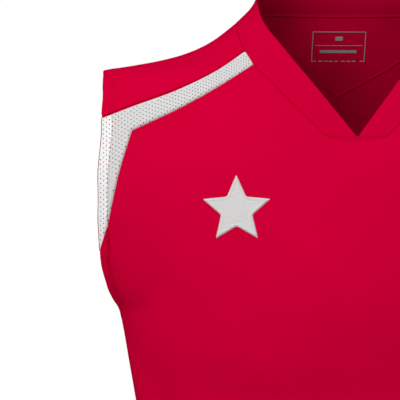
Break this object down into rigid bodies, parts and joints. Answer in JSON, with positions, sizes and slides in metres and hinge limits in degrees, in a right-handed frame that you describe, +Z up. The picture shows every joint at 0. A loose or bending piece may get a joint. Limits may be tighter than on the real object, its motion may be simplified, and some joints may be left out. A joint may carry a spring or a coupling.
{
  "type": "sleeveless sports shirt",
  "caption": "Red sleeveless sports shirt with a wide V neck band and white mesh bands along the yoke and armholes, filled out as worn with no wearer.",
  "frame": {"origin": "midway between the two points where the neck band's seam crosses the top of the shoulders", "axes": "+Z up towards the neck, -Y out of the chest, +X towards the wearer's left"},
  "size_m": [0.3926, 0.2395, 0.6584],
  "materials": {
    "red_interlock": "smooth red polyester knit, matt, with fine piqué eyelets on the inside",
    "red_neck_band": "double red knit with a fine diagonal grain",
    "white_eyelet_mesh": "white polyester mesh with small round eyelets in staggered columns"
  },
  "bodies": {
    "root": {"front_body": "red_interlock", "back_body": "red_interlock", "back_neck_insert": "red_interlock", "shoulder_yoke_left": "red_interlock", "shoulder_yoke_right": "red_interlock", "mesh_band_left": "white_eyelet_mesh", "mesh_band_right": "white_eyelet_mesh", "neck_band": "red_neck_band"}
  },
  "joints": []
}
